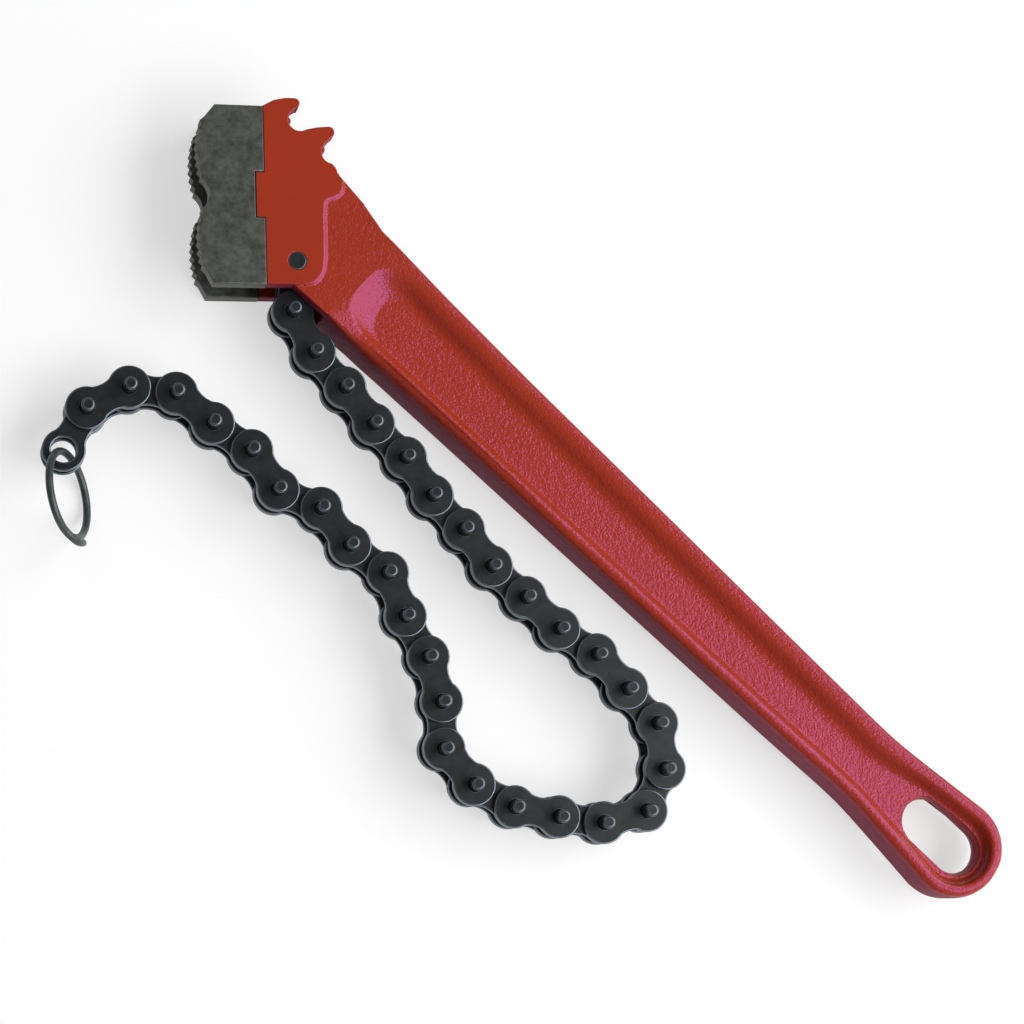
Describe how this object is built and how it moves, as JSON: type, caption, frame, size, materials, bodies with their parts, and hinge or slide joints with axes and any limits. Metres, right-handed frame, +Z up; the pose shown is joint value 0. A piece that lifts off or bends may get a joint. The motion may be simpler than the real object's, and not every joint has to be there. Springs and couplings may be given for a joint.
{
  "type": "chain pipe wrench",
  "caption": "Chain pipe wrench with a recessed cast handle and hanging slot, a forked head with hook horns, toothed jaw plates and a long-pin chain ending in a wire ring.",
  "frame": {"origin": "on the anchor pin's axis, in the plane that the head rests on", "axes": "+Z up out of the table that the wrench lies on; the jaw faces -X, the hook horns point to +Y and the handle runs to +X and -Y"},
  "size_m": [0.3335, 0.2809, 0.0289],
  "materials": {
    "red_paint": "gloss enamel on a cast surface",
    "jaw_steel": "dull forged grey",
    "black_oxide": "oiled black oxide"
  },
  "bodies": {
    "wrench": {"handle": "red_paint", "jaw_plate_near": "jaw_steel", "jaw_plate_far": "jaw_steel", "jaw_dowels": "jaw_steel", "anchor_pin": "black_oxide"},
    "link_01": {"inner_link_01": "black_oxide"},
    "link_02": {"outer_plates_02": "black_oxide", "link_pins_02": "black_oxide"},
    "link_03": {"inner_link_03": "black_oxide"},
    "link_04": {"outer_plates_04": "black_oxide", "link_pins_04": "black_oxide"},
    "link_05": {"inner_link_05": "black_oxide"},
    "link_06": {"outer_plates_06": "black_oxide", "link_pins_06": "black_oxide"},
    "link_07": {"inner_link_07": "black_oxide"},
    "link_08": {"outer_plates_08": "black_oxide", "link_pins_08": "black_oxide"},
    "link_09": {"inner_link_09": "black_oxide"},
    "link_10": {"outer_plates_10": "black_oxide", "link_pins_10": "black_oxide"},
    "link_11": {"inner_link_11": "black_oxide"},
    "link_12": {"outer_plates_12": "black_oxide", "link_pins_12": "black_oxide"},
    "link_13": {"inner_link_13": "black_oxide"},
    "link_14": {"outer_plates_14": "black_oxide", "link_pins_14": "black_oxide"},
    "link_15": {"inner_link_15": "black_oxide"},
    "link_16": {"outer_plates_16": "black_oxide", "link_pins_16": "black_oxide"},
    "link_17": {"inner_link_17": "black_oxide"},
    "link_18": {"outer_plates_18": "black_oxide", "link_pins_18": "black_oxide"},
    "link_19": {"inner_link_19": "black_oxide"},
    "link_20": {"outer_plates_20": "black_oxide", "link_pins_20": "black_oxide"},
    "link_21": {"inner_link_21": "black_oxide"},
    "link_22": {"outer_plates_22": "black_oxide", "link_pins_22": "black_oxide"},
    "link_23": {"inner_link_23": "black_oxide"},
    "link_24": {"outer_plates_24": "black_oxide", "link_pins_24": "black_oxide"},
    "link_25": {"inner_link_25": "black_oxide"},
    "link_26": {"outer_plates_26": "black_oxide", "link_pins_26": "black_oxide"},
    "link_27": {"inner_link_27": "black_oxide"},
    "link_28": {"outer_plates_28": "black_oxide", "link_pins_28": "black_oxide"},
    "link_29": {"inner_link_29": "black_oxide"},
    "link_30": {"outer_plates_30": "black_oxide", "link_pins_30": "black_oxide"},
    "link_31": {"inner_link_31": "black_oxide"},
    "link_32": {"outer_plates_32": "black_oxide", "link_pins_32": "black_oxide"},
    "link_33": {"inner_link_33": "black_oxide"},
    "ring": {"end_ring": "black_oxide"}
  },
  "joints": [
    {"name": "chain_wrap", "type": "hinge", "parent": "wrench", "child": "link_01", "pos_m": [0, 0, 0.0135], "axis": [0, 0, -1], "range_deg": [0, 30]},
    {"name": "link_02_turn", "type": "hinge", "parent": "link_01", "child": "link_02", "pos_m": [-0.00083, -0.01585, 0.0135], "axis": [0, 0, -1], "range_deg": [0, 39]},
    {"name": "link_03_turn", "type": "hinge", "parent": "link_02", "child": "link_03", "pos_m": [0.00638, -0.03, 0.0135], "axis": [0, 0, -1], "range_deg": [0, 22]},
    {"name": "link_04_turn", "type": "hinge", "parent": "link_03", "child": "link_04", "pos_m": [0.01658, -0.04216, 0.0135], "axis": [0, 0, -1], "range_deg": [0, 6]},
    {"name": "link_05_turn", "type": "hinge", "parent": "link_04", "child": "link_05", "pos_m": [0.02613, -0.05484, 0.0135], "axis": [0, 0, -1], "range_deg": [0, 15]},
    {"name": "link_06_turn", "type": "hinge", "parent": "link_05", "child": "link_06", "pos_m": [0.03696, -0.06645, 0.0135], "axis": [0, 0, -1], "range_deg": [0, 6]},
    {"name": "link_07_turn", "type": "hinge", "parent": "link_06", "child": "link_07", "pos_m": [0.04584, -0.07961, 0.0135], "axis": [0, 0, -1], "range_deg": [0, 11]},
    {"name": "link_08_turn", "type": "hinge", "parent": "link_07", "child": "link_08", "pos_m": [0.05646, -0.09141, 0.0135], "axis": [0, 0, -1], "range_deg": [0, 6]},
    {"name": "link_09_turn", "type": "hinge", "parent": "link_08", "child": "link_09", "pos_m": [0.06579, -0.10425, 0.0135], "axis": [0, 0, -1], "range_deg": [0, 14]},
    {"name": "link_10_turn", "type": "hinge", "parent": "link_09", "child": "link_10", "pos_m": [0.0774, -0.11508, 0.0135], "axis": [0, 0, -1], "range_deg": [0, 11]},
    {"name": "link_11_turn", "type": "hinge", "parent": "link_10", "child": "link_11", "pos_m": [0.08882, -0.1261, 0.0135], "axis": [0, 0, -1], "range_deg": [0, 10]},
    {"name": "link_12_turn", "type": "hinge", "parent": "link_11", "child": "link_12", "pos_m": [0.10183, -0.13521, 0.0135], "axis": [0, 0, -1], "range_deg": [0, 6]},
    {"name": "link_13_turn", "type": "hinge", "parent": "link_12", "child": "link_13", "pos_m": [0.11224, -0.14719, 0.0135], "axis": [0, 0, -1], "range_deg": [0, 6]},
    {"name": "link_14_turn", "type": "hinge", "parent": "link_13", "child": "link_14", "pos_m": [0.12244, -0.15935, 0.0135], "axis": [0, 0, 1], "range_deg": [0, 25]},
    {"name": "link_15_turn", "type": "hinge", "parent": "link_14", "child": "link_15", "pos_m": [0.12438, -0.17511, 0.0135], "axis": [0, 0, 1], "range_deg": [0, 25]},
    {"name": "link_16_turn", "type": "hinge", "parent": "link_15", "child": "link_16", "pos_m": [0.11717, -0.18925, 0.0135], "axis": [0, 0, 1], "range_deg": [0, 41]},
    {"name": "link_17_turn", "type": "hinge", "parent": "link_16", "child": "link_17", "pos_m": [0.1017, -0.19282, 0.0135], "axis": [0, 0, 1], "range_deg": [0, 13]},
    {"name": "link_18_turn", "type": "hinge", "parent": "link_17", "child": "link_18", "pos_m": [0.08603, -0.19034, 0.0135], "axis": [0, 0, -1], "range_deg": [0, 6]},
    {"name": "link_19_turn", "type": "hinge", "parent": "link_18", "child": "link_19", "pos_m": [0.07062, -0.1865, 0.0135], "axis": [0, 0, 1], "range_deg": [0, 9]},
    {"name": "link_20_turn", "type": "hinge", "parent": "link_19", "child": "link_20", "pos_m": [0.05687, -0.17856, 0.0135], "axis": [0, 0, 1], "range_deg": [0, 12]},
    {"name": "link_21_turn", "type": "hinge", "parent": "link_20", "child": "link_21", "pos_m": [0.04688, -0.16623, 0.0135], "axis": [0, 0, 1], "range_deg": [0, 29]},
    {"name": "link_22_turn", "type": "hinge", "parent": "link_21", "child": "link_22", "pos_m": [0.04661, -0.15035, 0.0135], "axis": [0, 0, -1], "range_deg": [0, 11]},
    {"name": "link_23_turn", "type": "hinge", "parent": "link_22", "child": "link_23", "pos_m": [0.0425, -0.13502, 0.0135], "axis": [0, 0, -1], "range_deg": [0, 13]},
    {"name": "link_24_turn", "type": "hinge", "parent": "link_23", "child": "link_24", "pos_m": [0.03504, -0.121, 0.0135], "axis": [0, 0, -1], "range_deg": [0, 16]},
    {"name": "link_25_turn", "type": "hinge", "parent": "link_24", "child": "link_25", "pos_m": [0.02935, -0.10618, 0.0135], "axis": [0, 0, -1], "range_deg": [0, 19]},
    {"name": "link_26_turn", "type": "hinge", "parent": "link_25", "child": "link_26", "pos_m": [0.01668, -0.09663, 0.0135], "axis": [0, 0, -1], "range_deg": [0, 22]},
    {"name": "link_27_turn", "type": "hinge", "parent": "link_26", "child": "link_27", "pos_m": [0.00712, -0.08395, 0.0135], "axis": [0, 0, -1], "range_deg": [0, 30]},
    {"name": "link_28_turn", "type": "hinge", "parent": "link_27", "child": "link_28", "pos_m": [-0.00738, -0.07749, 0.0135], "axis": [0, 0, 1], "range_deg": [0, 16]},
    {"name": "link_29_turn", "type": "hinge", "parent": "link_28", "child": "link_29", "pos_m": [-0.01603, -0.06418, 0.0135], "axis": [0, 0, -1], "range_deg": [0, 30]},
    {"name": "link_30_turn", "type": "hinge", "parent": "link_29", "child": "link_30", "pos_m": [-0.02887, -0.05485, 0.0135], "axis": [0, 0, -1], "range_deg": [0, 6]},
    {"name": "link_31_turn", "type": "hinge", "parent": "link_30", "child": "link_31", "pos_m": [-0.04103, -0.04464, 0.0135], "axis": [0, 0, -1], "range_deg": [0, 41]},
    {"name": "link_32_turn", "type": "hinge", "parent": "link_31", "child": "link_32", "pos_m": [-0.05679, -0.04271, 0.0135], "axis": [0, 0, -1], "range_deg": [0, 43]},
    {"name": "link_33_turn", "type": "hinge", "parent": "link_32", "child": "link_33", "pos_m": [-0.07093, -0.04992, 0.0135], "axis": [0, 0, -1], "range_deg": [0, 43]},
    {"name": "ring_swing", "type": "hinge", "parent": "link_33", "child": "ring", "pos_m": [-0.07863, -0.0638, 0.0135], "axis": [0, 0, 1], "range_deg": [-60, 60]}
  ]
}
